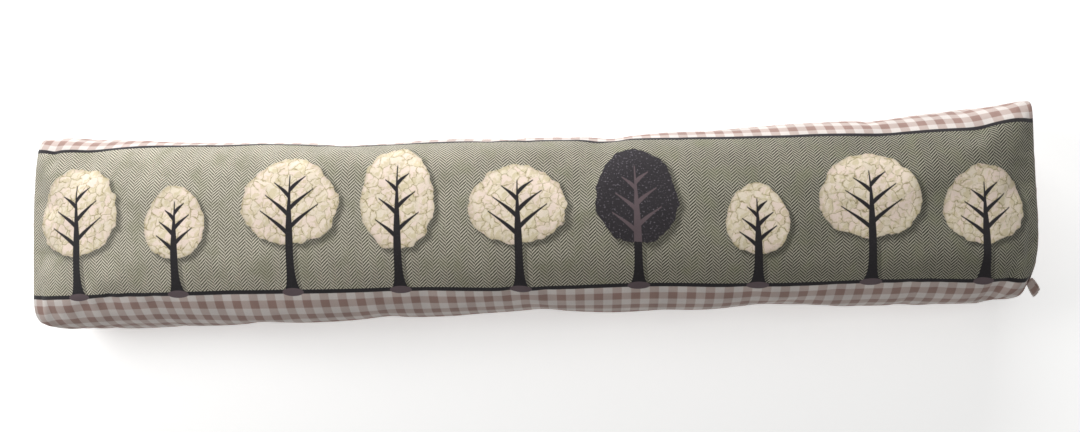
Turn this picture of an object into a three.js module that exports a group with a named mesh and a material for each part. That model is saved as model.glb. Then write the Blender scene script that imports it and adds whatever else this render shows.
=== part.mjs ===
import * as THREE from "three";

// A stuffed draught excluder lying on its back, in millimetres.
// X runs along the cushion, +Y is the side away from the viewer, and the printed face looks up +Z.

// Driving sizes
const LENGTH = 900;
const CLOTH = 1.2;
const PIECE_GAP = 0.35;
const END_SWELL = 5;
const SEAM_REACH = LENGTH / 2 - CLOTH - PIECE_GAP - END_SWELL;

// Section shape: the crown is a superellipse, the underside is flat with rounded edges
const WIDEST_SHARE = 0.42;
const BASE_ROUND = 36;

// How far each corner of the ends draws back (or stands out, below 0), and how sharply:
// end and side are -1 or 1 along X and Y
const CORNERS = [
  { end: -1, side: -1, drop: 5, power: 12 },
  { end: -1, side: 1, drop: 5, power: 2 },
  { end: 1, side: -1, drop: 17.5, power: 3.4 },
  { end: 1, side: 1, drop: -2.5, power: 2 },
];
const CORNER_FROM = 0.87;
const DROP_FADE = 4;

// An end panel stops this share of the way out to the seam
const PANEL_SHARE = 0.96;

// Mesh steps
const AROUND = 56;
const MID_RINGS = 66;
const MID_REACH = 0.955;
const END_RINGS = [0.966, 0.976, 0.985, 0.992, 0.997, 1];
const DOME_RINGS = [0.96, 0.86, 0.66, 0.36];
const PROFILE_STEPS = 90;

// Outline: at is the share of the way from the middle to an end seam, near and far are the sides,
// crown is the height, square is how boxy its curve is and lift is how far the underside is drawn up
const SECTIONS = [
  { at: -1.0, near: -84.6, far: 86.0, crown: 64.0, square: 10.0, lift: 7.0 },
  { at: -0.985, near: -86.8, far: 86.4, crown: 68.0, square: 8.0, lift: 2.0 },
  { at: -0.955, near: -88.6, far: 86.4, crown: 73.5, square: 5.4, lift: 0.0 },
  { at: -0.87, near: -89.8, far: 84.0, crown: 83.0, square: 3.3, lift: 0.0 },
  { at: -0.72, near: -90.0, far: 80.4, crown: 91.0, square: 2.7, lift: 0.0 },
  { at: -0.54, near: -90.6, far: 76.4, crown: 95.0, square: 2.7, lift: 0.0 },
  { at: -0.36, near: -90.2, far: 73.2, crown: 97.0, square: 2.7, lift: 0.0 },
  { at: -0.18, near: -88.4, far: 71.7, crown: 98.5, square: 2.7, lift: 0.0 },
  { at: 0.0, near: -87.4, far: 70.5, crown: 100.0, square: 2.7, lift: 0.0 },
  { at: 0.18, near: -88.8, far: 69.6, crown: 98.5, square: 2.7, lift: 0.0 },
  { at: 0.36, near: -88.8, far: 71.2, crown: 97.0, square: 2.7, lift: 0.0 },
  { at: 0.54, near: -87.8, far: 73.2, crown: 95.0, square: 2.7, lift: 0.0 },
  { at: 0.72, near: -89.2, far: 75.6, crown: 91.0, square: 2.7, lift: 0.0 },
  { at: 0.87, near: -89.6, far: 80.0, crown: 83.0, square: 3.3, lift: 0.0 },
  { at: 0.955, near: -88.8, far: 82.6, crown: 73.5, square: 5.4, lift: 0.0 },
  { at: 0.985, near: -87.6, far: 84.6, crown: 68.0, square: 8.0, lift: 2.0 },
  { at: 1.0, near: -85.0, far: 85.4, crown: 64.0, square: 10.0, lift: 7.0 },
];

// Soft folds: along is in millimetres from the middle, girth runs round the cloth from the crown
// (far side positive), reach and width are half sizes, turn is degrees from square across
const FOLDS = [
  { along: -392, girth: 58, reach: 34, width: 15, turn: 28, depth: 2.2 },
  { along: -258, girth: 34, reach: 62, width: 24, turn: -9, depth: 1.6 },
  { along: -120, girth: -92, reach: 30, width: 20, turn: 12, depth: 1.4 },
  { along: 16, girth: -104, reach: 26, width: 13, turn: -18, depth: 1.2 },
  { along: 68, girth: 58, reach: 36, width: 17, turn: 22, depth: 1.8 },
  { along: 196, girth: -84, reach: 34, width: 22, turn: -14, depth: 1.4 },
  { along: 300, girth: 44, reach: 52, width: 24, turn: 16, depth: 1.5 },
  { along: 410, girth: -78, reach: 26, width: 14, turn: 38, depth: 2.6 },
];
const FOLD_FLOOR = 14;

// The folded corner of the seam that stands out at the near right end: along and across place its
// middle line, height is above the floor, wide is across the fold
const EAR_PATH = [
  { along: 437.0, across: -72.2, height: 58.5, wide: 5.0 },
  { along: 439.8, across: -75.2, height: 56.0, wide: 7.5 },
  { along: 443.4, across: -79.0, height: 52.0, wide: 9.2 },
  { along: 447.4, across: -82.6, height: 47.6, wide: 9.2 },
];
const EAR_THICK = 2 * CLOTH;
const EAR_AROUND = 12;

// Smooth curve through the rows of a table that never overshoots them
function follow(rows, column, at) {
  const last = rows.length - 1;
  const low = rows.findLastIndex((row) => row.at <= at);
  const i = Math.min(Math.max(low, 0), last - 1);
  const step = (k) => rows[k + 1].at - rows[k].at;
  const rise = (k) => (rows[k + 1][column] - rows[k][column]) / step(k);
  const slope = (k) => {
    if (k === 0) return rise(0);
    if (k === last) return rise(last - 1);
    const before = rise(k - 1);
    const after = rise(k);
    return before * after <= 0 ? 0 : (2 * before * after) / (before + after);
  };
  const h = step(i);
  const t = THREE.MathUtils.clamp((at - rows[i].at) / h, 0, 1);
  const a = rows[i][column];
  const b = rows[i + 1][column];
  const bend = t * (1 - t) * ((1 - t) * (slope(i) * h - (b - a)) + t * (b - a - slope(i + 1) * h));
  return a + (b - a) * t + bend;
}

function sectionAt(at) {
  const columns = ["near", "far", "crown", "square", "lift"];
  const [near, far, crown, square, lift] = columns.map((column) => follow(SECTIONS, column, at));
  return { crown, square, lift, middle: (near + far) / 2, half: (far - near) / 2 };
}

// One section as a dense loop, from the middle of the underside round by the far side
function denseLoop({ crown, square, lift, middle, half }) {
  const widest = lift + WIDEST_SHARE * (crown - lift);
  const side = [];
  side.push([0, lift]);
  for (let i = 0; i <= PROFILE_STEPS / 2; i++) {
    const a = (i / (PROFILE_STEPS / 2)) * (Math.PI / 2);
    side.push([half - BASE_ROUND * (1 - Math.sin(a)), widest - (widest - lift) * Math.cos(a)]);
  }
  for (let i = 1; i <= PROFILE_STEPS; i++) {
    const a = (i / PROFILE_STEPS) * (Math.PI / 2);
    const across = half * Math.cos(a) ** (2 / square);
    const up = (crown - widest) * Math.sin(a) ** (2 / square);
    side.push([across, widest + up]);
  }
  const back = side.slice(0, -1).reverse();
  const loop = [...side, ...back.map(([y, z]) => [-y, z])];
  return loop.map(([y, z]) => [middle + y, z]);
}

// The same loop in even steps, each point with its girth from the crown
function evenLoop(section) {
  const dense = denseLoop(section);
  const run = [0];
  for (let i = 1; i < dense.length; i++) {
    run.push(run[i - 1] + Math.hypot(dense[i][0] - dense[i - 1][0], dense[i][1] - dense[i - 1][1]));
  }
  const total = run[run.length - 1];
  const points = [];
  let k = 0;
  for (let i = 0; i < AROUND; i++) {
    const want = (i / AROUND) * total;
    while (run[k + 1] < want) k++;
    const t = (want - run[k]) / (run[k + 1] - run[k]);
    const y = dense[k][0] + t * (dense[k + 1][0] - dense[k][0]);
    const z = dense[k][1] + t * (dense[k + 1][1] - dense[k][1]);
    points.push({ y, z, girth: total / 2 - want });
  }
  return points;
}

// Depth of all the folds at a place on the cloth
function foldDepth(along, girth) {
  let depth = 0;
  for (const fold of FOLDS) {
    const turn = THREE.MathUtils.degToRad(fold.turn);
    const da = along - fold.along;
    const dg = girth - fold.girth;
    const side = da * Math.cos(turn) - dg * Math.sin(turn);
    const down = da * Math.sin(turn) + dg * Math.cos(turn);
    depth += fold.depth * Math.exp(-((side / fold.width) ** 2) - (down / fold.reach) ** 2);
  }
  return depth;
}

// How far an end is drawn back at a share of the way out to one side
function cornerDrop(at, share) {
  const corner = CORNERS.find((row) => row.end * at >= 0 && row.side * share >= 0);
  return corner.drop * Math.abs(share) ** corner.power;
}

// One ring of the cushion, with its corners drawn back and its folds pressed in
function ringAt(at) {
  const section = sectionAt(at);
  const points = evenLoop(section);
  const drawn = THREE.MathUtils.smoothstep(Math.abs(at), CORNER_FROM, 1);
  return points.map(({ y, z, girth }, i) => {
    const before = points[(i + AROUND - 1) % AROUND];
    const after = points[(i + 1) % AROUND];
    const edge = Math.hypot(after.y - before.y, after.z - before.z);
    const press = foldDepth(at * SEAM_REACH, girth) * THREE.MathUtils.smoothstep(z, 0, FOLD_FLOOR);
    const x = at * SEAM_REACH - Math.sign(at) * drawn * cornerDrop(at, (y - section.middle) / section.half);
    const inY = -(after.z - before.z) / edge;
    const inZ = (after.y - before.y) / edge;
    return new THREE.Vector3(x, y + press * inY, z + press * inZ);
  });
}

// A smaller ring on the swell of an end: share is its size, out is how far it stands off the seam
function domeRing(seam, share, out) {
  const box = new THREE.Box3().setFromPoints(seam);
  const centre = box.getCenter(new THREE.Vector3());
  const half = box.getSize(new THREE.Vector3()).divideScalar(2);
  const end = Math.sign(centre.x);
  const swell = (q) => (1 - ((q.y - centre.y) / half.y) ** 2) * (1 - ((q.z - centre.z) / half.z) ** 2);
  return seam.map((p) => {
    const q = p.clone().sub(centre).multiplyScalar(share).add(centre);
    const rise = END_SWELL * (swell(q) - share * swell(p));
    const drop = (SEAM_REACH - end * p.x) * share ** DROP_FADE;
    q.x = end * (SEAM_REACH - drop + rise + out);
    return q;
  });
}

// Closed skin over a run of rings, each end closed to its own middle
function skin(rings) {
  const count = rings[0].length;
  const points = rings.flat();
  const faces = [];
  for (let r = 0; r + 1 < rings.length; r++) {
    for (let i = 0; i < count; i++) {
      const j = (i + 1) % count;
      const [a, b, c, d] = [r * count + i, r * count + j, (r + 1) * count + j, (r + 1) * count + i];
      faces.push(a, b, c, a, c, d);
    }
  }
  for (const [r, flip] of [[0, true], [rings.length - 1, false]]) {
    const middle = new THREE.Vector3();
    rings[r].forEach((p) => middle.addScaledVector(p, 1 / count));
    const m = points.push(middle) - 1;
    for (let i = 0; i < count; i++) {
      const a = r * count + i;
      const b = r * count + ((i + 1) % count);
      faces.push(...(flip ? [b, a, m] : [a, b, m]));
    }
  }
  return facingOut(points, faces);
}

// Geometry from points and faces, turned so that its faces look out
function facingOut(points, faces) {
  let volume = 0;
  const cross = new THREE.Vector3();
  for (let i = 0; i < faces.length; i += 3) {
    const [a, b, c] = [points[faces[i]], points[faces[i + 1]], points[faces[i + 2]]];
    volume += a.dot(cross.crossVectors(b, c));
  }
  const turned = volume > 0 ? faces : faces.slice().reverse();
  const geometry = new THREE.BufferGeometry();
  geometry.setAttribute("position", new THREE.Float32BufferAttribute(points.flatMap((p) => p.toArray()), 3));
  geometry.setIndex(turned);
  geometry.computeVertexNormals();
  return geometry;
}

function cushionGeometry() {
  const mid = Array.from({ length: MID_RINGS + 1 }, (_, i) => MID_REACH * ((2 * i) / MID_RINGS - 1));
  const ends = END_RINGS.map((at) => -at).reverse();
  const rings = [...ends, ...mid, ...END_RINGS].map(ringAt);
  const low = DOME_RINGS.map((share) => domeRing(rings[0], share, 0)).reverse();
  const high = DOME_RINGS.map((share) => domeRing(rings[rings.length - 1], share, 0));
  return skin([...low, ...rings, ...high]);
}

// A thin cloth panel over one swollen end, its inner face cut into triangles as the cushion's end is
function panelGeometry(end) {
  const seam = ringAt(end);
  const shares = DOME_RINGS.filter((share) => share <= PANEL_SHARE);
  const inner = shares.map((share) => domeRing(seam, share, PIECE_GAP));
  const outer = shares.map((share) => domeRing(seam, share, PIECE_GAP + CLOTH));
  const [first, second] = end < 0 ? [inner, outer] : [outer, inner];
  return skin([...first.reverse(), ...second]);
}

// The folded ear of the seam: a flat oval swept down its path
function earGeometry() {
  const middles = EAR_PATH.map((row) => new THREE.Vector3(row.along, row.across, row.height));
  const rings = EAR_PATH.map((row, k) => {
    const before = middles[Math.max(k - 1, 0)];
    const after = middles[Math.min(k + 1, middles.length - 1)];
    const way = after.clone().sub(before).normalize();
    const broad = new THREE.Vector3(0, 0, 1).cross(way).normalize();
    const thin = way.clone().cross(broad);
    return Array.from({ length: EAR_AROUND }, (_, i) => {
      const a = (i / EAR_AROUND) * 2 * Math.PI;
      const p = middles[k].clone();
      p.addScaledVector(broad, (row.wide / 2) * Math.cos(a));
      return p.addScaledVector(thin, (EAR_THICK / 2) * Math.sin(a));
    });
  });
  return skin(rings);
}

// Plain stand-in colours for the printed cloth and the check
const printedCloth = new THREE.MeshStandardMaterial({ color: 0x9c9a82, roughness: 0.95, metalness: 0 });
const checkCloth = new THREE.MeshStandardMaterial({ color: 0xc9b0a6, roughness: 0.95, metalness: 0 });

function piece(name, geometry, material) {
  const mesh = new THREE.Mesh(geometry, material);
  mesh.name = name;
  return mesh;
}

const draughtExcluder = new THREE.Group();
draughtExcluder.name = "draught_excluder";
draughtExcluder.add(
  piece("cushion_body", cushionGeometry(), printedCloth),
  piece("end_panel_left", panelGeometry(-1), checkCloth),
  piece("end_panel_right", panelGeometry(1), checkCloth),
  piece("corner_ear", earGeometry(), checkCloth),
);

// The box round all the pieces stands centred on the origin
const box = new THREE.Box3().setFromObject(draughtExcluder);
const middle = box.getCenter(new THREE.Vector3());
draughtExcluder.children.forEach((mesh) => mesh.geometry.translate(-middle.x, -middle.y, -box.min.z));

export default draughtExcluder;
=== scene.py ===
"""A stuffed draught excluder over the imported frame: printed cushion, check end panels and a folded corner."""

import math

import bpy
import numpy as np
from mathutils import Matrix, Vector, noise


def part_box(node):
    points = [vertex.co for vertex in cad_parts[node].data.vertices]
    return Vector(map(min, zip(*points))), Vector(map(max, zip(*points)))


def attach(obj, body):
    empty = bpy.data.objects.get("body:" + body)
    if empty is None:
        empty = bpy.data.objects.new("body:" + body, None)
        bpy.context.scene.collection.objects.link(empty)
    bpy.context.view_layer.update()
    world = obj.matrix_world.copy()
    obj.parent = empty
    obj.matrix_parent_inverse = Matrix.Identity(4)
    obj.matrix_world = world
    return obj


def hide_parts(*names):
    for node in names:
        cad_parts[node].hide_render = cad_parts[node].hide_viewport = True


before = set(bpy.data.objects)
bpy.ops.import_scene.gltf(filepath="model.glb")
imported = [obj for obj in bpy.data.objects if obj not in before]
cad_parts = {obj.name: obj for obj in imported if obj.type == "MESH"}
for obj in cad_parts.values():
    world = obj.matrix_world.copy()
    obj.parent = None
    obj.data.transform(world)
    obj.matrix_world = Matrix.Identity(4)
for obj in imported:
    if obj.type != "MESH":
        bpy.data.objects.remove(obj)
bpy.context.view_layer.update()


def table(columns, *rows):
    """A table as a list of dicts, from its column names and one tuple for each row."""
    names = columns.split()
    return [dict(zip(names, row)) for row in rows]


# Sizes in millimetres, as in the part's source
MM = 0.001
TINY = 1e-9
LENGTH = 900
CLOTH = 1.2
PIECE_GAP = 0.35
END_SWELL = 5
SEAM_REACH = LENGTH / 2 - CLOTH - PIECE_GAP - END_SWELL
WIDEST_SHARE = 0.42
BASE_ROUND = 36
CORNER_FROM = 0.87
DROP_FADE = 4
FOLD_FLOOR = 14

# Outline of the cushion from one end seam to the other, near and far fitted to the photo by a script
SECTIONS = table(
    "at near far crown square lift",
    (-1.0, -84.6, 86.0, 64.0, 10.0, 7.0),
    (-0.985, -86.8, 86.4, 68.0, 8.0, 2.0),
    (-0.955, -88.6, 86.4, 73.5, 5.4, 0.0),
    (-0.87, -89.8, 84.0, 83.0, 3.3, 0.0),
    (-0.72, -90.0, 80.4, 91.0, 2.7, 0.0),
    (-0.54, -90.6, 76.4, 95.0, 2.7, 0.0),
    (-0.36, -90.2, 73.2, 97.0, 2.7, 0.0),
    (-0.18, -88.4, 71.7, 98.5, 2.7, 0.0),
    (0.0, -87.4, 70.5, 100.0, 2.7, 0.0),
    (0.18, -88.8, 69.6, 98.5, 2.7, 0.0),
    (0.36, -88.8, 71.2, 97.0, 2.7, 0.0),
    (0.54, -87.8, 73.2, 95.0, 2.7, 0.0),
    (0.72, -89.2, 75.6, 91.0, 2.7, 0.0),
    (0.87, -89.6, 80.0, 83.0, 3.3, 0.0),
    (0.955, -88.8, 82.6, 73.5, 5.4, 0.0),
    (0.985, -87.6, 84.6, 68.0, 8.0, 2.0),
    (1.0, -85.0, 85.4, 64.0, 10.0, 7.0),
)

# How far each corner of an end is drawn in, and how sharply, by its end and side
CORNERS = {(-1, -1): (5, 12), (-1, 1): (5, 2), (1, -1): (17.5, 3.4), (1, 1): (-2.5, 2)}

# Folds pressed into the cloth
FOLDS = table(
    "along girth reach width turn depth",
    (-392, 58, 34, 15, 28, 2.2),
    (-258, 34, 62, 24, -9, 1.6),
    (-120, -92, 30, 20, 12, 1.4),
    (16, -104, 26, 13, -18, 1.2),
    (68, 58, 36, 17, 22, 1.8),
    (196, -84, 34, 22, -14, 1.4),
    (300, 44, 52, 24, 16, 1.5),
    (410, -78, 26, 14, 38, 2.6),
    (433, -84, 18, 4.5, 32, 2.4),
)

# Girths of the two printed lines in millimetres from the crown, fitted to the photo by a script
PRINT_LINES = table(
    "at upper lower",
    (-1.0, 72.9, -59.4),
    (-0.955, 73.8, -58.0),
    (-0.87, 79.5, -56.0),
    (-0.72, 86.3, -53.9),
    (-0.54, 88.9, -52.5),
    (-0.36, 87.4, -52.1),
    (-0.18, 85.8, -52.9),
    (0.0, 83.4, -55.0),
    (0.18, 81.6, -53.6),
    (0.36, 75.1, -57.2),
    (0.54, 69.9, -60.3),
    (0.72, 67.7, -61.0),
    (0.87, 67.3, -65.4),
    (0.955, 68.7, -67.1),
    (1.0, 66.3, -68.5),
)
BAND = 136.0

# Mesh steps before the last subdivision
RINGS = 170
AROUND = 96
END_GATHER = 0.12
DENSE = 60
DOME_SHARES = (0.985, 0.96, 0.86, 0.66, 0.36)
END_DEPTH = 40
SEAM_CREASE = 0.8

# Cloth simulation
SIM_FRAMES = 20
SIM_PRESSURE = 1.2
SIM_GROW = 0.012
SIM_CAP = 2.5 * MM
SIM_FLOOR = 3.0
SIM_HELD_END = 4
SIM_BLUR = 6


def smoothstep(value, low, high):
    t = np.clip((value - low) / (high - low), 0, 1)
    return t * t * (3 - 2 * t)


def follow(rows, column, at):
    """A smooth curve through one column of a table that never overshoots its rows."""
    x = np.array([row["at"] for row in rows])
    y = np.array([row[column] for row in rows])
    step = np.diff(x)
    rise = np.diff(y) / step
    both = rise[:-1] * rise[1:]
    total = np.where(both > 0, rise[:-1] + rise[1:], 1)
    slope = np.concatenate([rise[:1], np.where(both > 0, 2 * both / total, 0), rise[-1:]])
    i = np.clip(np.searchsorted(x, at, side="right") - 1, 0, len(x) - 2)
    t = np.clip((at - x[i]) / step[i], 0, 1)
    change = y[i + 1] - y[i]
    bend = (1 - t) * (slope[i] * step[i] - change) + t * (change - slope[i + 1] * step[i])
    return y[i] + change * t + t * (1 - t) * bend


def section_loop(at):
    """One section in even steps from under the middle, round by the far side, with girths from the crown."""
    near, far, crown, square, lift = (
        float(follow(SECTIONS, column, at)) for column in ("near", "far", "crown", "square", "lift")
    )
    half, middle = (far - near) / 2, (far + near) / 2
    widest = lift + WIDEST_SHARE * (crown - lift)
    turn = np.linspace(0, math.pi / 2, DENSE)
    low_y = half - BASE_ROUND * (1 - np.sin(turn))
    low_z = widest - (widest - lift) * np.cos(turn)
    high_y = half * np.cos(turn) ** (2 / square)
    high_z = widest + (crown - widest) * np.sin(turn) ** (2 / square)
    side_y = np.concatenate([[0], low_y, high_y[1:]])
    side_z = np.concatenate([[lift], low_z, high_z[1:]])
    y = np.concatenate([side_y, -side_y[-2::-1]]) + middle
    z = np.concatenate([side_z, side_z[-2::-1]])
    run = np.concatenate([[0], np.cumsum(np.hypot(np.diff(y), np.diff(z)))])
    want = run[-1] * np.arange(AROUND) / AROUND
    return np.interp(want, run, y), np.interp(want, run, z), run[-1] / 2 - want, middle, half


def fold_depth(along, girth):
    depth = np.zeros_like(girth)
    for fold in FOLDS:
        turn = math.radians(fold["turn"])
        da, dg = along - fold["along"], girth - fold["girth"]
        side = da * math.cos(turn) - dg * math.sin(turn)
        down = da * math.sin(turn) + dg * math.cos(turn)
        depth += fold["depth"] * np.exp(-((side / fold["width"]) ** 2) - (down / fold["reach"]) ** 2)
    return depth


def ring_at(at):
    """One ring of the cushion as in the solids: its points and the girth of each."""
    y, z, girth, middle, half = section_loop(at)
    share = (y - middle) / half
    end = 1 if at >= 0 else -1
    (near_drop, near_power), (far_drop, far_power) = CORNERS[end, -1], CORNERS[end, 1]
    drop = np.where(share < 0, near_drop * abs(share) ** near_power, far_drop * abs(share) ** far_power)
    x = at * SEAM_REACH - end * drop * smoothstep(abs(at), CORNER_FROM, 1)
    dy, dz = np.roll(y, -1) - np.roll(y, 1), np.roll(z, -1) - np.roll(z, 1)
    edge = np.hypot(dy, dz)
    press = fold_depth(at * SEAM_REACH, girth) * smoothstep(z, 0, FOLD_FLOOR)
    return np.stack([x, y - press * dz / edge, z + press * dy / edge], axis=1), girth


def dome_ring(seam, share, out):
    """A smaller ring on the swell of an end, standing off the cushion by out."""
    low, high = seam.min(axis=0), seam.max(axis=0)
    centre, half = (low + high) / 2, (high - low) / 2
    end = 1 if centre[0] > 0 else -1

    def swell(points):
        unit = (points - centre) / half
        return (1 - unit[:, 1] ** 2) * (1 - unit[:, 2] ** 2)

    ring = (seam - centre) * share + centre
    rise = END_SWELL * (swell(ring) - share * swell(seam))
    drop = (SEAM_REACH - end * seam[:, 0]) * share**DROP_FADE
    ring[:, 0] = end * (SEAM_REACH - drop + rise + out)
    return ring


def cushion_rings():
    """The wrap's rings from end to end, with the station and girths of each."""
    even = np.linspace(-1, 1, RINGS + 1)
    stations = even + END_GATHER * np.sin(math.pi * even)
    rings, girths = zip(*(ring_at(at) for at in stations))
    return stations, rings, girths


stations, wrap, girths = cushion_rings()
low_end = [dome_ring(wrap[0], share, 0) for share in reversed(DOME_SHARES)]
high_end = [dome_ring(wrap[-1], share, 0) for share in DOME_SHARES]

# The solids stand centred on the origin, so the tables move by the difference of the two boxes
body_box = np.array(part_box("cushion_body"))
table_points = np.vstack([*low_end, *wrap, *high_end])
SHIFT = body_box.mean(axis=0) - (table_points.min(axis=0) + table_points.max(axis=0)) / 2 * MM
SHIFT[2] = 0


def placed(points):
    """Table millimetres to metres in the row frame."""
    return np.asarray(points) * MM + SHIFT


def new_object(name, points, faces, uvs=None):
    """A smooth-shaded mesh object, with the cloth's own coordinates in metres as its UV map."""
    mesh = bpy.data.meshes.new(name)
    mesh.from_pydata([tuple(p) for p in points], [], faces)
    if uvs is not None:
        layer = mesh.uv_layers.new(name="cloth")
        corners = np.array([c for face in uvs for uv in face for c in uv], dtype=np.float32)
        layer.uv.foreach_set("vector", corners)
    mesh.shade_smooth()
    made = bpy.data.objects.new(name, mesh)
    bpy.context.scene.collection.objects.link(made)
    return made


def skin(rings, coordinates):
    """Points, faces and face UVs of a closed skin over a run of rings, each end closed to its own middle."""
    count = len(rings[0])
    points = [p for ring in rings for p in ring]
    faces, uvs = [], []
    for r in range(len(rings) - 1):
        low, high = coordinates[r], coordinates[r + 1]
        for i in range(count):
            j = (i + 1) % count
            faces.append((r * count + i, r * count + j, (r + 1) * count + j, (r + 1) * count + i))
            uvs.append((low[i], low[i + 1], high[i + 1], high[i]))
    for r, turned in ((0, True), (len(rings) - 1, False)):
        points.append(np.mean(rings[r], axis=0))
        middle = np.mean(coordinates[r][:-1], axis=0)
        for i in range(count):
            j = (i + 1) % count
            face = (r * count + i, r * count + j, len(points) - 1)
            uv = (coordinates[r][i], coordinates[r][i + 1], middle)
            faces.append(face[::-1] if turned else face)
            uvs.append(uv[::-1] if turned else uv)
    return points, faces, uvs


def outward(made):
    """Turns the faces of a closed mesh to look out."""
    mesh = made.data
    points = np.empty(len(mesh.vertices) * 3)
    mesh.vertices.foreach_get("co", points)
    points = points.reshape(-1, 3)
    mesh.calc_loop_triangles()
    corners = np.empty(len(mesh.loop_triangles) * 3, dtype=np.int64)
    mesh.loop_triangles.foreach_get("vertices", corners)
    a, b, c = (points[corners.reshape(-1, 3)[:, k]] for k in range(3))
    if np.einsum("ij,ij->", a, np.cross(b, c)) < 0:
        mesh.flip_normals()


def cloth_uv(at, girth):
    """How far across the print each point of a ring lies, with the first point again at the end."""
    upper, lower = (float(follow(PRINT_LINES, column, at)) for column in ("upper", "lower"))
    around = np.concatenate([girth, [-girth[0]]])
    return (around - (upper + lower) / 2) * BAND / (upper - lower) * MM


def cushion_mesh():
    """The printed wrap as a closed grid, with its cloth coordinates."""
    crown = slice(AROUND // 4, 3 * AROUND // 4)
    steps = [np.linalg.norm(b - a, axis=1)[crown].mean() for a, b in zip(wrap, wrap[1:])]
    run = np.concatenate([[0], np.cumsum(steps)])
    run -= run[-1] / 2
    across = [cloth_uv(at, girth) for at, girth in zip(stations, girths)]
    turn_in = (1 - np.array(DOME_SHARES)) * END_DEPTH
    run = np.concatenate([run[0] - turn_in[::-1], run, run[-1] + turn_in])
    across = [*[across[0]] * len(low_end), *across, *[across[-1]] * len(high_end)]
    coordinates = [np.stack([np.full(AROUND + 1, u * MM), v], axis=1) for u, v in zip(run, across)]
    return skin([placed(ring) for ring in (*low_end, *wrap, *high_end)], coordinates)


def blurred(field, axis, reach, closed):
    """A field on the wrap's grid, averaged over about reach steps along one axis."""
    count = field.shape[axis]
    total, weight = np.zeros_like(field), 0.0
    for shift in range(-2 * reach, 2 * reach + 1):
        share = math.exp(-0.5 * (shift / reach) ** 2)
        index = np.arange(count) + shift
        index = index % count if closed else np.clip(index, 0, count - 1)
        total += share * np.take(field, index, axis)
        weight += share
    return total / weight


def settle(made, held):
    """Lets the cloth pucker under the filling's pressure, and keeps the puckers but not the general swell."""
    start = np.empty(len(made.data.vertices) * 3)
    made.data.vertices.foreach_get("co", start)
    group = made.vertex_groups.new(name="held")
    group.add([int(i) for i in np.flatnonzero(held)], 1.0, "REPLACE")
    cloth = made.modifiers.new("cloth", "CLOTH")
    rules = cloth.settings
    rules.quality = 6
    rules.mass = 0.25
    rules.tension_stiffness = 20
    rules.compression_stiffness = 20
    rules.shear_stiffness = 8
    rules.bending_stiffness = 0.6
    rules.use_pressure = True
    rules.uniform_pressure_force = SIM_PRESSURE
    rules.shrink_min = -SIM_GROW
    rules.vertex_group_mass = "held"
    rules.effector_weights.gravity = 0
    cloth.collision_settings.use_collision = False
    cloth.point_cache.frame_end = SIM_FRAMES
    for step in range(1, SIM_FRAMES + 1):
        bpy.context.scene.frame_set(step)
    settled = made.evaluated_get(bpy.context.evaluated_depsgraph_get()).data
    end = np.empty_like(start)
    settled.vertices.foreach_get("co", end)
    made.modifiers.remove(cloth)
    made.vertex_groups.remove(group)
    bpy.context.scene.frame_set(1)
    start, end = start.reshape(-1, 3), end.reshape(-1, 3)
    move = end - start
    grid = move[: len(move) // AROUND * AROUND].reshape(-1, AROUND, 3)
    grid -= blurred(blurred(grid, 0, SIM_BLUR, False), 1, SIM_BLUR, True)
    move *= (1 - held[:, None]) * smoothstep(start[:, 2:], SIM_FLOOR * MM, FOLD_FLOOR * MM)
    size = np.linalg.norm(move, axis=1, keepdims=True)
    move *= SIM_CAP * np.tanh(size / SIM_CAP) / np.maximum(size, TINY)
    made.data.vertices.foreach_set("co", (start + move).ravel())
    made.data.update()


def subdivide(made):
    """One smooth subdivision, applied to the mesh, that keeps the two end seams sharp."""
    mesh = made.data
    seams = (len(low_end), len(low_end) + RINGS)
    pairs = np.empty(len(mesh.edges) * 2, dtype=np.int64)
    mesh.edges.foreach_get("vertices", pairs)
    ring = pairs.reshape(-1, 2) // AROUND
    crease = mesh.attributes.new("crease_edge", "FLOAT", "EDGE")
    crease.data.foreach_set("value", ((ring[:, 0] == ring[:, 1]) & np.isin(ring[:, 0], seams)) * SEAM_CREASE)
    step = made.modifiers.new("finer", "SUBSURF")
    step.levels = 1
    step.uv_smooth = "NONE"
    finer = bpy.data.meshes.new_from_object(made.evaluated_get(bpy.context.evaluated_depsgraph_get()))
    made.modifiers.remove(step)
    made.data = finer
    made.data.shade_smooth()


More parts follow.
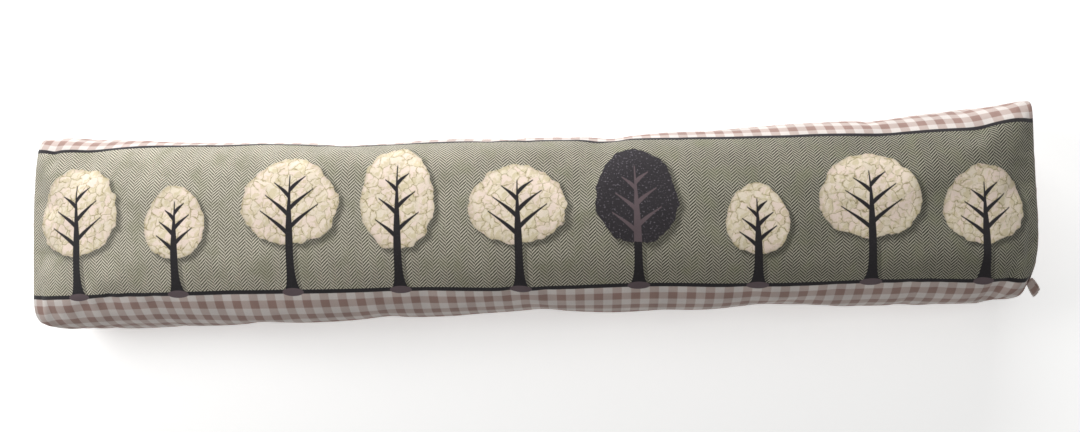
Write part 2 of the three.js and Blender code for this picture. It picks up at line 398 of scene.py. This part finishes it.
class Net:
    """Adds nodes to one material, with short names for arithmetic on their sockets."""

    def __init__(self, name):
        self.material = bpy.data.materials.new(name)
        self.material.use_nodes = True
        self.tree = self.material.node_tree
        self.shader = self.tree.nodes["Principled BSDF"]

    def node(self, kind, **settings):
        made = self.tree.nodes.new(kind)
        for name, value in settings.items():
            setattr(made, name, value)
        return made

    def join(self, value, socket):
        if isinstance(value, bpy.types.NodeSocket):
            self.tree.links.new(value, socket)
        else:
            socket.default_value = value

    def math(self, operation, *values):
        made = self.node("ShaderNodeMath", operation=operation)
        for value, socket in zip(values, made.inputs):
            self.join(value, socket)
        return made.outputs[0]

    def add(self, a, b):
        return self.math("ADD", a, b)

    def sub(self, a, b):
        return self.math("SUBTRACT", a, b)

    def mul(self, a, b):
        return self.math("MULTIPLY", a, b)

    def div(self, a, b):
        return self.math("DIVIDE", a, b)

    def abs(self, a):
        return self.math("ABSOLUTE", a)

    def both(self, a, b):
        return self.math("MINIMUM", a, b)

    def either(self, a, b):
        return self.math("MAXIMUM", a, b)

    def wave(self, a, length):
        return self.math("SINE", self.mul(a, 2 * math.pi / length))

    def ramp(self, value, low, high, to_low=0.0, to_high=1.0):
        """A smooth step from to_low to to_high as value goes from low to high."""
        made = self.node("ShaderNodeMapRange", interpolation_type="SMOOTHSTEP")
        for given, socket in zip((value, low, high, to_low, to_high), made.inputs):
            self.join(given, socket)
        return made.outputs[0]

    def mix(self, share, a, b, blend="MIX"):
        made = self.node("ShaderNodeMix", data_type="RGBA", blend_type=blend)
        for given, socket in zip((share, a, b), (made.inputs[0], made.inputs[6], made.inputs[7])):
            self.join(given, socket)
        return made.outputs[2]

    def place(self, x, y):
        made = self.node("ShaderNodeCombineXYZ")
        self.join(x, made.inputs[0])
        self.join(y, made.inputs[1])
        return made.outputs[0]

    def noise(self, vector, size, detail=2.0):
        """Smooth noise from 0 to 1, with features of about size."""
        made = self.node("ShaderNodeTexNoise")
        self.join(vector, made.inputs["Vector"])
        made.inputs["Scale"].default_value = 1 / size
        made.inputs["Detail"].default_value = detail
        return made.outputs["Fac"]

    def lookup(self, at, colours):
        """The colour of one of several equal steps along 0 to 1."""
        made = self.node("ShaderNodeValToRGB")
        steps = made.color_ramp
        steps.interpolation = "CONSTANT"
        while len(steps.elements) < len(colours):
            steps.elements.new(1.0)
        for i, colour in enumerate(colours):
            steps.elements[i].position = i / len(colours)
            steps.elements[i].color = (*colour, 1.0)
        self.join(at, made.inputs[0])
        split = self.node("ShaderNodeSeparateColor")
        self.join(made.outputs[0], split.inputs[0])
        return split.outputs[0], split.outputs[1], split.outputs[2]


def tone(red, green, blue):
    """A display colour, 0 to 255, as the linear colour that shaders take."""

    def linear(value):
        value /= 255
        return value / 12.92 if value <= 0.04045 else ((value + 0.055) / 1.055) ** 2.4

    return (linear(red), linear(green), linear(blue), 1.0)


# Colours
CHECK_LIGHT = tone(214, 206, 201)
CHECK_MID = tone(190, 173, 166)
CHECK_DARK = tone(154, 126, 117)
STROKE_LIGHT_LEFT = tone(214, 208, 190)
STROKE_DARK_LEFT = tone(84, 79, 65)
# Stroke colours at the right end, darker than at the left: painted shade for the light falling off along the
# cushion
STROKE_LIGHT_RIGHT_SHADED = tone(164, 161, 144)
STROKE_DARK_RIGHT_SHADED = tone(27, 25, 19)
BAND_OLIVE = tone(126, 128, 98)
LINE_BLACK = tone(36, 33, 36)
FLEECE = tone(238, 223, 205)
FLEECE_PINK = tone(238, 216, 205)
FLEECE_GREEN = tone(229, 219, 195)
FLEECE_FOLD = tone(205, 192, 150)
FLEECE_CREASE = tone(140, 126, 88)
CHARCOAL = tone(46, 42, 46)
CHARCOAL_SPECK = tone(120, 114, 122)
TRUNK = tone(33, 30, 33)
MAUVE = tone(98, 84, 88)
CAST = tone(52, 50, 42)

# Printed pattern, in millimetres
CHECK_PITCH = 15.7
LINE_HALF = 1.85
COLUMN = 6.0
STROKE_RISE = 2.75
STROKE_SLOPE = 0.92
STROKE_DRIFT = 2.0
DRIFT_SIZE = 30
STROKE_UNEVEN = 1.5
UNEVEN_SIZE = 1.6
STROKE_EDGE = 0.5
# Contrast kept in the strokes of every other column, a painted sheen of the cloth
SHEEN_STROKE_CONTRAST = 0.85
CLOUD_SIZE = 19
CLOUD_RANGE = (0.45, 0.75)
CLOUD_SHARE = 0.4
CHECK_EDGE = 0.16
INK_EDGE = 0.35

# Printed trees in equal cells: half is the crown's half width, base and top its heights over the line,
# shift its place in its cell and dark 1 for a charcoal crown
TREES = table(
    "half base top shift dark",
    (39, 36, 116, 3, 0),
    (27, 30, 90, -2, 0),
    (42, 40, 112, 2, 0),
    (31, 34, 123, -3, 0),
    (41, 38, 104, 1, 0),
    (34, 36, 120, 2, 1),
    (26, 28, 88, 3, 0),
    (42, 40, 115, -1, 0),
    (35, 34, 100, -3, 0),
)
CELL = 98.6
BRANCHES = table("start reach", (0.12, 0.62), (0.34, 0.52), (0.56, 0.34))
SHADOW_RIGHT = 3.6
SHADOW_DOWN = 3.2
SHADOW_EDGE = (1.1, 0.96)
SHADOW_OF_BARK = 0.7
SHADOW_SHARE = 0.62

# Shape of a printed tree
CROWN_TAPER = 0.14
CROWN_EDGE = 0.012
WOBBLE = 0.26
WOBBLE_SIZE = 13
FLARE = 4.6
FLARE_REACH = 7.0
TRUNK_HALF = 3.3
TRUNK_TIP = 0.5
TRUNK_TOP = 0.8
TRUNK_FADE = 0.76
BRANCH_STAGGER = 2.6
BRANCH_BOW = 1.4
BRANCH_SLOPE = 0.55
BRANCH_LEAN = 0.78
BRANCH_HALF = 2.0
BRANCH_TIP = 0.45
FOOT_HALF = 9.5
FOOT_TALL = 3.6
FOOT_DROP = 0.4
FOOT_EDGE = 0.08
SIZE_SCALE = 100.0
TOP_SCALE = 200.0
SHIFT_SCALE = 20.0

# Wool of the crowns, and threads and rumples of the cloth
CURL = 8.0
CURL_WANDER = 9.0
WANDER_SIZE = 7
CURL_ROUGHNESS = 0.45
RELIEF_STEP = (1.0, -1.0, 0.0)
RELIEF_RANGE = (0.02, 0.2)
PINK_RANGE = (0.3, 0.8)
GREEN_RANGE = (0.6, 0.9)
TINT_SHARE = 0.6
FOLD_REACH = 0.14
FOLD_SHARE = 0.7
CREASE_REACH = 0.06
CREASE_SHARE = 0.8
PATCH_SIZE = 7
PATCH_RANGE = (0.34, 0.58)
PATCH_LEAST = 0.1
RIM_FROM = 0.88
RIM_SHARE = 0.3
SPECK_SIZE = 1.7
SPECK_RANGE = (0.56, 0.72)
SPECK_SHARE = 0.8
THREAD = 0.9
THREAD_HEIGHT = 0.05
SLUB = 2.4
SLUB_HEIGHT = 0.16
SOFT_RUMPLE = 34
SOFT_RUMPLE_HEIGHT = 1.4
BUMP_STRENGTH = 0.55
MOTTLE_SIZE = 26
MOTTLE_SHADE = (0.93, 1.04)
GRAIN_SIZE = 0.8
GRAIN_SHADE = (0.94, 1.05)
ROUGH_SIZE = 3.0
ROUGHNESS = (0.86, 0.97)


def cloth_place(net):
    """The cloth's own coordinates in millimetres: along, across, and both as a vector."""
    source = net.node("ShaderNodeUVMap", uv_map="cloth")
    split = net.node("ShaderNodeSeparateXYZ")
    net.join(source.outputs[0], split.inputs[0])
    along, across = net.mul(split.outputs[0], 1 / MM), net.mul(split.outputs[1], 1 / MM)
    return along, across, net.place(along, across)


def gingham(net, along, across):
    """Check cloth: light, mid and dark squares, a light row first where across is 0."""
    warp = net.ramp(net.wave(along, CHECK_PITCH), -CHECK_EDGE, CHECK_EDGE)
    weft = net.ramp(net.wave(across, CHECK_PITCH), CHECK_EDGE, -CHECK_EDGE)
    light_row = net.mix(warp, CHECK_LIGHT, CHECK_MID)
    dark_row = net.mix(warp, CHECK_MID, CHECK_DARK)
    return net.mix(weft, light_row, dark_row)


def herringbone(net, along, across, vector):
    """Columns of slanting strokes that change direction from column to column, with faint olive clouds, a
    painted sheen that softens every other column and painted shade that darkens the strokes towards the right
    end.
    """
    drift = net.mul(net.sub(net.noise(vector, DRIFT_SIZE), 0.5), STROKE_DRIFT)
    column = net.div(net.add(along, drift), COLUMN)
    number = net.math("FLOOR", column)
    odd = net.math("FLOORED_MODULO", number, 2.0)
    slant = net.mul(net.sub(net.sub(column, number), 0.5), net.sub(net.mul(odd, 2.0), 1.0))
    climb = net.add(net.div(across, STROKE_RISE), net.mul(slant, COLUMN * STROKE_SLOPE / STROKE_RISE))
    climb = net.add(climb, net.mul(odd, 0.5))
    uneven = net.mul(net.sub(net.noise(vector, UNEVEN_SIZE), 0.5), STROKE_UNEVEN)
    stroke = net.ramp(net.add(net.wave(climb, 1.0), uneven), -STROKE_EDGE, STROKE_EDGE)
    # Painted sheen: the strokes in every other column lose some of their contrast
    sheen_contrast = net.ramp(odd, 0.0, 1.0, 1.0, SHEEN_STROKE_CONTRAST)
    stroke = net.add(net.mul(net.sub(stroke, 0.5), sheen_contrast), 0.5)
    # Painted shade: the strokes darken from the left end to the right end, standing in for the light falling
    # off
    painted_shade_to_right = net.ramp(along, -LENGTH / 2, LENGTH / 2)
    dark = net.mix(painted_shade_to_right, STROKE_DARK_LEFT, STROKE_DARK_RIGHT_SHADED)
    light = net.mix(painted_shade_to_right, STROKE_LIGHT_LEFT, STROKE_LIGHT_RIGHT_SHADED)
    clouds = net.ramp(net.noise(vector, CLOUD_SIZE, 3.0), *CLOUD_RANGE, 0.0, CLOUD_SHARE)
    return net.mix(clouds, net.mix(stroke, dark, light), BAND_OLIVE)


def tree_shape(net, along, height, vector):
    """Crown, bark and foot of the tree in this cell, 0 to 1 each, with the crown's radius and dark flag."""
    count = len(TREES)
    cell = net.math("FLOOR", net.div(along, CELL))
    at = net.div(net.add(cell, 0.5), float(count))
    sizes = [(row["half"] / SIZE_SCALE, row["base"] / SIZE_SCALE, row["top"] / TOP_SCALE) for row in TREES]
    places = [(row["shift"] / SHIFT_SCALE + 0.5, row["dark"], 0) for row in TREES]
    half, base, top = net.lookup(at, sizes)
    shift, dark, _ = net.lookup(at, places)
    half, base, top = net.mul(half, SIZE_SCALE), net.mul(base, SIZE_SCALE), net.mul(top, TOP_SCALE)
    shift = net.mul(net.sub(shift, 0.5), SHIFT_SCALE)
    middle = net.mul(net.add(cell, 0.5), CELL)
    x = net.sub(net.sub(along, middle), shift)
    tall = net.sub(top, base)
    y = net.div(net.sub(height, net.mul(net.add(top, base), 0.5)), net.mul(tall, 0.5))
    wide = net.div(x, net.sub(half, net.mul(net.mul(half, y), CROWN_TAPER)))
    wobble = net.mul(net.sub(net.noise(vector, WOBBLE_SIZE, 3.0), 0.5), WOBBLE)
    radius = net.add(net.math("SQRT", net.add(net.mul(wide, wide), net.mul(y, y))), wobble)
    crown = net.ramp(radius, 1 + CROWN_EDGE, 1 - CROWN_EDGE)
    side = net.abs(x)
    flare = net.mul(net.math("EXPONENT", net.div(height, -FLARE_REACH)), FLARE)
    tip = net.add(base, net.mul(tall, TRUNK_TOP))
    taper = net.ramp(height, base, tip, TRUNK_HALF, TRUNK_TIP)
    bark = net.ramp(net.sub(side, net.add(flare, taper)), INK_EDGE, -INK_EDGE)
    bark = net.both(bark, net.ramp(height, tip, net.add(base, net.mul(tall, TRUNK_FADE))))
    for row in BRANCHES:
        start = net.add(base, net.mul(tall, row["start"]))
        start = net.add(start, net.mul(net.math("SIGN", x), BRANCH_STAGGER))
        reach = net.mul(half, row["reach"])
        bow = net.mul(net.math("SQRT", side), BRANCH_BOW)
        away = net.abs(net.sub(net.sub(height, start), net.add(net.mul(side, BRANCH_SLOPE), bow)))
        thick = net.ramp(side, 0.0, reach, BRANCH_HALF, BRANCH_TIP)
        twig = net.ramp(net.sub(net.mul(away, BRANCH_LEAN), thick), INK_EDGE, -INK_EDGE)
        bark = net.either(bark, net.both(twig, net.ramp(side, reach, net.sub(reach, 1.0))))
    foot_wide, foot_tall = net.div(x, FOOT_HALF), net.div(net.add(height, FOOT_DROP), FOOT_TALL)
    foot = net.add(net.mul(foot_wide, foot_wide), net.mul(foot_tall, foot_tall))
    foot = net.ramp(net.add(foot, wobble), 1 + FOOT_EDGE, 1 - FOOT_EDGE)
    return crown, bark, foot, radius, dark


def lumps(net, place, feature, output):
    """One reading of the wool's lumps: smaller ones grow on larger ones."""
    cells = net.node("ShaderNodeTexVoronoi", feature=feature, voronoi_dimensions="2D")
    net.join(place, cells.inputs["Vector"])
    cells.inputs["Scale"].default_value = 1 / CURL
    cells.inputs["Detail"].default_value = 1.0
    cells.inputs["Roughness"].default_value = CURL_ROUGHNESS
    return cells.outputs[output]


def shifted(net, place, offset):
    made = net.node("ShaderNodeVectorMath", operation="ADD")
    net.join(place, made.inputs[0])
    net.join(offset, made.inputs[1])
    return made.outputs[0]


def fleece(net, vector, dark, radius):
    """Curly cream wool, shaded on the lower right of each lump, or speckled charcoal wool."""
    wander = net.node("ShaderNodeTexNoise")
    net.join(vector, wander.inputs["Vector"])
    wander.inputs["Scale"].default_value = 1 / WANDER_SIZE
    wander.inputs["Detail"].default_value = 3.0
    scaled = net.node("ShaderNodeVectorMath", operation="SCALE")
    net.join(wander.outputs["Color"], scaled.inputs[0])
    scaled.inputs["Scale"].default_value = CURL_WANDER
    bent = shifted(net, vector, scaled.outputs[0])
    beside = lumps(net, shifted(net, bent, RELIEF_STEP), "F1", "Distance")
    relief = net.sub(beside, lumps(net, bent, "F1", "Distance"))
    split = net.node("ShaderNodeSeparateColor")
    net.join(lumps(net, bent, "F1", "Color"), split.inputs[0])
    wool = net.mix(net.ramp(split.outputs[0], *PINK_RANGE, 0.0, TINT_SHARE), FLEECE, FLEECE_PINK)
    wool = net.mix(net.ramp(split.outputs[1], *GREEN_RANGE, 0.0, TINT_SHARE), wool, FLEECE_GREEN)
    wool = net.mix(net.ramp(relief, *RELIEF_RANGE, 0.0, TINT_SHARE), wool, FLEECE_FOLD)
    edge = lumps(net, bent, "DISTANCE_TO_EDGE", "Distance")
    patchy = net.ramp(net.noise(vector, PATCH_SIZE), *PATCH_RANGE, PATCH_LEAST, 1.0)
    wool = net.mix(net.mul(net.ramp(edge, FOLD_REACH, 0.0, 0.0, FOLD_SHARE), patchy), wool, FLEECE_FOLD)
    wool = net.mix(net.mul(net.ramp(edge, CREASE_REACH, 0.0, 0.0, CREASE_SHARE), patchy), wool, FLEECE_CREASE)
    wool = net.mix(net.ramp(radius, RIM_FROM, 1.0, 0.0, RIM_SHARE), wool, FLEECE_CREASE)
    speck = net.ramp(net.noise(vector, SPECK_SIZE, 4.0), *SPECK_RANGE, 0.0, SPECK_SHARE)
    coal = net.mix(speck, CHARCOAL, CHARCOAL_SPECK)
    return net.mix(dark, wool, coal)


def weave_bump(net, along, across, vector):
    """Fine cloth threads, slubs and soft rumples as bump."""
    threads = net.mul(net.wave(along, THREAD), net.wave(across, THREAD))
    height = net.add(net.mul(threads, THREAD_HEIGHT), net.mul(net.noise(vector, SLUB, 3.0), SLUB_HEIGHT))
    height = net.add(height, net.mul(net.noise(vector, SOFT_RUMPLE, 2.0), SOFT_RUMPLE_HEIGHT))
    bump = net.node("ShaderNodeBump")
    bump.inputs["Strength"].default_value = BUMP_STRENGTH
    bump.inputs["Distance"].default_value = MM
    net.join(height, bump.inputs["Height"])
    net.join(bump.outputs[0], net.shader.inputs["Normal"])


def cloth_finish(net, colour, vector):
    """Matt cotton with faint mottling."""
    mottle = net.ramp(net.noise(vector, MOTTLE_SIZE, 3.0), 0.3, 0.7, *MOTTLE_SHADE)
    grain = net.ramp(net.noise(vector, GRAIN_SIZE, 2.0), 0.25, 0.75, *GRAIN_SHADE)
    shade = net.mul(mottle, grain)
    tint = net.node("ShaderNodeCombineColor")
    for socket in tint.inputs:
        net.join(shade, socket)
    net.join(net.mix(1.0, colour, tint.outputs[0], "MULTIPLY"), net.shader.inputs["Base Color"])
    rough = net.ramp(net.noise(vector, ROUGH_SIZE), 0.3, 0.7, *ROUGHNESS)
    net.join(rough, net.shader.inputs["Roughness"])
    net.shader.inputs["Specular IOR Level"].default_value = 0.25
    net.shader.inputs["Sheen Weight"].default_value = 0.12
    net.shader.inputs["Sheen Roughness"].default_value = 0.6


def printed_cloth():
    """Herringbone band with a row of trees between two black lines, and gingham outside them."""
    net = Net("printed_cloth")
    along, across, vector = cloth_place(net)
    from_left = net.add(along, CELL * len(TREES) / 2)
    height = net.add(across, BAND / 2)
    band = herringbone(net, along, across, vector)

    # Printed shadows, below and to the right of each tree
    fall_along, fall_height = net.sub(from_left, SHADOW_RIGHT), net.add(height, SHADOW_DOWN)
    fall_vector = net.place(net.sub(along, SHADOW_RIGHT), net.add(across, SHADOW_DOWN))
    _, fall_bark, _, fall_radius, _ = tree_shape(net, fall_along, fall_height, fall_vector)
    fall = net.either(net.ramp(fall_radius, *SHADOW_EDGE), net.mul(fall_bark, SHADOW_OF_BARK))
    band = net.mix(net.mul(fall, SHADOW_SHARE), band, CAST)

    crown, bark, foot, radius, dark = tree_shape(net, from_left, height, vector)
    band = net.mix(crown, band, fleece(net, vector, dark, radius))
    bark_colour = net.mix(net.ramp(net.noise(vector, 1.5, 3.0), 0.5, 0.75), TRUNK, CHARCOAL)
    bark_colour = net.mix(net.both(dark, crown), bark_colour, MAUVE)
    band = net.mix(bark, band, bark_colour)

    beyond = net.sub(net.abs(across), BAND / 2)
    border = gingham(net, along, beyond)
    colour = net.mix(net.ramp(beyond, -0.3, 0.3), band, border)
    line = net.ramp(net.abs(beyond), LINE_HALF + INK_EDGE, LINE_HALF - INK_EDGE)
    colour = net.mix(line, colour, LINE_BLACK)
    colour = net.mix(foot, colour, MAUVE)
    cloth_finish(net, colour, vector)
    weave_bump(net, along, across, vector)
    return net.material


def check_cloth():
    """The same gingham on its own, for the end panels and the folded corner."""
    net = Net("check_cloth")
    along, across, vector = cloth_place(net)
    cloth_finish(net, gingham(net, along, across), vector)
    weave_bump(net, along, across, vector)
    return net.material


# Puckers round the end seams and lumps of filling: sizes in millimetres, distances in metres
PUCKER = table("count size phase", (17, 0.22, 0.4), (29, 0.16, 1.9), (43, 0.1, 3.1))
PUCKER_REACH = 0.018
PUCKER_START = (-0.002, 0.006)
PUCKER_MIDDLE = 0.035
PUCKER_STRETCH = 2.2
LUMPS = table("scale size", (14, 0.9), (31, 0.45))
LUMP_FADE = 0.04
LUMP_FLOOR = (0.004, 0.03)


def rumple(made):
    """Presses small puckers in beside the end seams and soft lumps of filling into the top."""
    mesh = made.data
    count = len(mesh.vertices)
    points, normals = np.empty(count * 3), np.empty(count * 3)
    mesh.vertices.foreach_get("co", points)
    mesh.vertex_normals.foreach_get("vector", normals)
    points, normals = points.reshape(-1, 3), normals.reshape(-1, 3)
    seam = SEAM_REACH * MM - abs(points[:, 0] - SHIFT[0])
    near_seam = smoothstep(seam, *PUCKER_START) * np.exp(-np.maximum(seam, 0) / PUCKER_REACH)
    angle = np.arctan2((points[:, 2] - PUCKER_MIDDLE) * PUCKER_STRETCH, points[:, 1])
    pucker = sum(row["size"] * np.sin(row["count"] * angle + row["phase"]) for row in PUCKER)
    spots = [Vector(p) for p in points]
    lump = sum(row["size"] * np.array([noise.noise(p * row["scale"]) for p in spots]) for row in LUMPS)
    raised = smoothstep(points[:, 2], *LUMP_FLOOR) * smoothstep(seam, 0.0, LUMP_FADE)
    move = (pucker * near_seam + lump * raised) * MM
    mesh.vertices.foreach_set("co", (points + normals * move[:, None]).ravel())
    mesh.update()


# Rings of an end panel as shares of the seam, from its edge inward
PANEL_SHARES = (0.94, 0.93, 0.915, 0.895, 0.87, 0.82, 0.74, 0.62, 0.45, 0.25, 0.1)
PANEL_THICK = 0.7
PANEL_EDGE = (0.06, 0.105)
GATHER = 0.7
GATHER_AT = 0.88
GATHER_SPREAD = 0.004
GATHER_EDGE = (0.06, 0.12)
GATHER_DIP = -0.5


def end_panel(name, end):
    """A check panel sewn over one end: a thin closed sheet with gathers at its edge."""
    seam, _ = ring_at(end)
    turn = np.linspace(0, 2 * math.pi, AROUND, endpoint=False)
    gather = sum(row["size"] * np.sin(row["count"] * turn + row["phase"]) for row in PUCKER)
    outer, inner = [], []
    for share in PANEL_SHARES:
        thick = PANEL_THICK * smoothstep(1 - share, *PANEL_EDGE)
        fade = math.exp(-((share - GATHER_AT) ** 2) / GATHER_SPREAD) * smoothstep(1 - share, *GATHER_EDGE)
        ring = dome_ring(seam, share, PIECE_GAP + thick)
        ring[:, 0] += end * GATHER * np.maximum(gather, GATHER_DIP) * fade
        outer.append(ring)
        inner.append(dome_ring(seam, share, PIECE_GAP * 0.5))
    rings = [*outer[::-1], *inner]
    coordinates = [np.vstack([ring, ring[:1]])[:, 1:] * MM for ring in rings]
    points, faces, uvs = skin([placed(ring) for ring in rings], coordinates)
    made = new_object(name, points, faces, uvs)
    outward(made)
    return made


# Middle line of the folded corner from its upper end down
EAR_PATH = table(
    "along across height wide",
    (435.6, -71.0, 59.4, 7.0),
    (437.4, -73.0, 58.0, 8.4),
    (440.4, -76.2, 55.2, 9.4),
    (443.8, -79.4, 51.6, 9.8),
    (447.0, -82.2, 47.8, 9.4),
)
EAR_STEPS = 16
EAR_AROUND = 48
EAR_THICK = 2.4
EAR_GROOVE = 0.8
EAR_GROOVE_AT = 0.5
EAR_GROOVE_HALF = 0.13
EAR_CHECK_START = 4


def corner_ear(name):
    """The folded corner of the end seam: two layers of cloth with a fold line between them."""
    spots = np.array([[row["along"], row["across"], row["height"]] for row in EAR_PATH])
    wide = np.array([row["wide"] for row in EAR_PATH])
    knots = np.arange(len(EAR_PATH))
    steps = np.linspace(0, knots[-1], EAR_STEPS)
    middles = np.stack([np.interp(steps, knots, spots[:, k]) for k in range(3)], axis=1)
    widths = np.interp(steps, knots, wide)
    ways = np.gradient(middles, axis=0)
    ways /= np.linalg.norm(ways, axis=1, keepdims=True)
    turn = np.linspace(0, 2 * math.pi, EAR_AROUND, endpoint=False)
    rings, coordinates = [], []
    run = np.concatenate([[0], np.cumsum(np.linalg.norm(np.diff(middles, axis=0), axis=1))])
    for middle, width, way, down in zip(middles, widths, ways, run):
        broad = np.cross([0, 0, 1], way)
        broad /= np.linalg.norm(broad)
        thin = np.cross(way, broad)
        groove = 1 - EAR_GROOVE * np.exp(-(((np.cos(turn) - EAR_GROOVE_AT) / EAR_GROOVE_HALF) ** 2))
        ring = middle + np.outer(width / 2 * np.cos(turn), broad)
        ring += np.outer(EAR_THICK / 2 * np.sin(turn) * groove, thin)
        rings.append(placed(ring))
        around = np.concatenate([np.cos(turn), [1.0]]) * width / 2
        coordinates.append(np.stack([around + EAR_CHECK_START, np.full(EAR_AROUND + 1, down)], axis=1) * MM)
    points, faces, uvs = skin(rings, coordinates)
    made = new_object(name, points, faces, uvs)
    outward(made)
    return made


# The pieces
points, faces, uvs = cushion_mesh()
cushion = new_object("cushion_cloth", points, faces, uvs)
outward(cushion)
spots = np.array(points)
held = spots[:, 2] < SIM_FLOOR * MM
held |= abs(spots[:, 0] - SHIFT[0]) > (SEAM_REACH - SIM_HELD_END) * MM
settle(cushion, held)
subdivide(cushion)
rumple(cushion)
left_end = end_panel("end_cloth_left", -1)
right_end = end_panel("end_cloth_right", 1)
ear = corner_ear("corner_ear_cloth")

printed, check = printed_cloth(), check_cloth()
cushion.data.materials.clear()
cushion.data.materials.append(printed)
for made in (left_end, right_end, ear):
    made.data.materials.append(check)

for made, node, slot in (
    (cushion, "cushion_body", "printed_cloth"),
    (left_end, "end_panel_left", "check_cloth"),
    (right_end, "end_panel_right", "check_cloth"),
    (ear, "corner_ear", "check_cloth"),
):
    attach(made, "root")
    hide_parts(node)

# Pale floor, just below the cushion
FLOOR_HALF = 6.0
FLOOR_LEVEL = -0.0005
FLOOR_GLOW = 0.4
corner_signs = ((-1, -1), (1, -1), (1, 1), (-1, 1))
floor_points = [(FLOOR_HALF * x, FLOOR_HALF * y, FLOOR_LEVEL) for x, y in corner_signs]
floor = new_object("floor", floor_points, [(0, 1, 2, 3)])
floor_net = Net("floor_paint")
floor_net.shader.inputs["Base Color"].default_value = tone(247, 247, 246)
floor_net.shader.inputs["Emission Color"].default_value = (1.0, 1.0, 1.0, 1.0)
floor_net.shader.inputs["Emission Strength"].default_value = FLOOR_GLOW
floor_net.shader.inputs["Roughness"].default_value = 0.85
floor_net.shader.inputs["Specular IOR Level"].default_value = 0.1
floor.data.materials.append(floor_net.material)

# Camera above the cushion, as the photograph was taken
CAMERA_PLACE = Vector(placed((52.9, -38.8, 781.4)))
CAMERA_AIM = Vector(placed((17.5, -0.9, 60.0)))
CAMERA_ROLL = math.radians(-2.0)
CAMERA_LENS = 27.2
back = (CAMERA_PLACE - CAMERA_AIM).normalized()
right = (Vector((1, 0, 0)) - back * back.x).normalized()
up = back.cross(right)
turned_right = right * math.cos(CAMERA_ROLL) + up * math.sin(CAMERA_ROLL)
turned_up = up * math.cos(CAMERA_ROLL) - right * math.sin(CAMERA_ROLL)
lens = bpy.data.cameras.new("camera")
lens.sensor_fit = "HORIZONTAL"
lens.sensor_width = 36.0
lens.lens = CAMERA_LENS
lens.clip_start = 0.01
camera = bpy.data.objects.new("camera", lens)
camera_turn = Matrix((turned_right, turned_up, back)).transposed().to_4x4()
camera.matrix_world = Matrix.Translation(CAMERA_PLACE) @ camera_turn
bpy.context.scene.collection.objects.link(camera)
bpy.context.scene.camera = camera


def lamp(name, place, aim, size, power):
    light = bpy.data.lights.new(name, "AREA")
    light.shape = "RECTANGLE"
    light.size, light.size_y = size
    light.energy = power
    made = bpy.data.objects.new(name, light)
    made.location = place
    made.rotation_euler = (Vector(aim) - Vector(place)).to_track_quat("-Z", "Y").to_euler()
    bpy.context.scene.collection.objects.link(made)


# Soft light from the far side and the left, with a weak lamp over the right end
LAMPS = table(
    "name place aim size power",
    ("window", (0.0, 1.3, 0.52), (0.0, 0.0, 0.05), (1.4, 0.5), 19),
    ("left_window", (-0.95, 0.3, 0.8), (-0.4, 0.0, 0.05), (0.7, 0.7), 8),
    ("right_fill", (0.5, 0.0, 1.1), (0.4, 0.0, 0.05), (0.6, 0.6), 2.6),
)
for row in LAMPS:
    lamp(**row)
world = bpy.data.worlds.new("studio")
world.use_nodes = True
world.node_tree.nodes["Background"].inputs["Color"].default_value = (1.0, 0.99, 0.975, 1.0)
world.node_tree.nodes["Background"].inputs["Strength"].default_value = 0.14
bpy.context.scene.world = world
bpy.context.scene.view_settings.view_transform = "Standard"
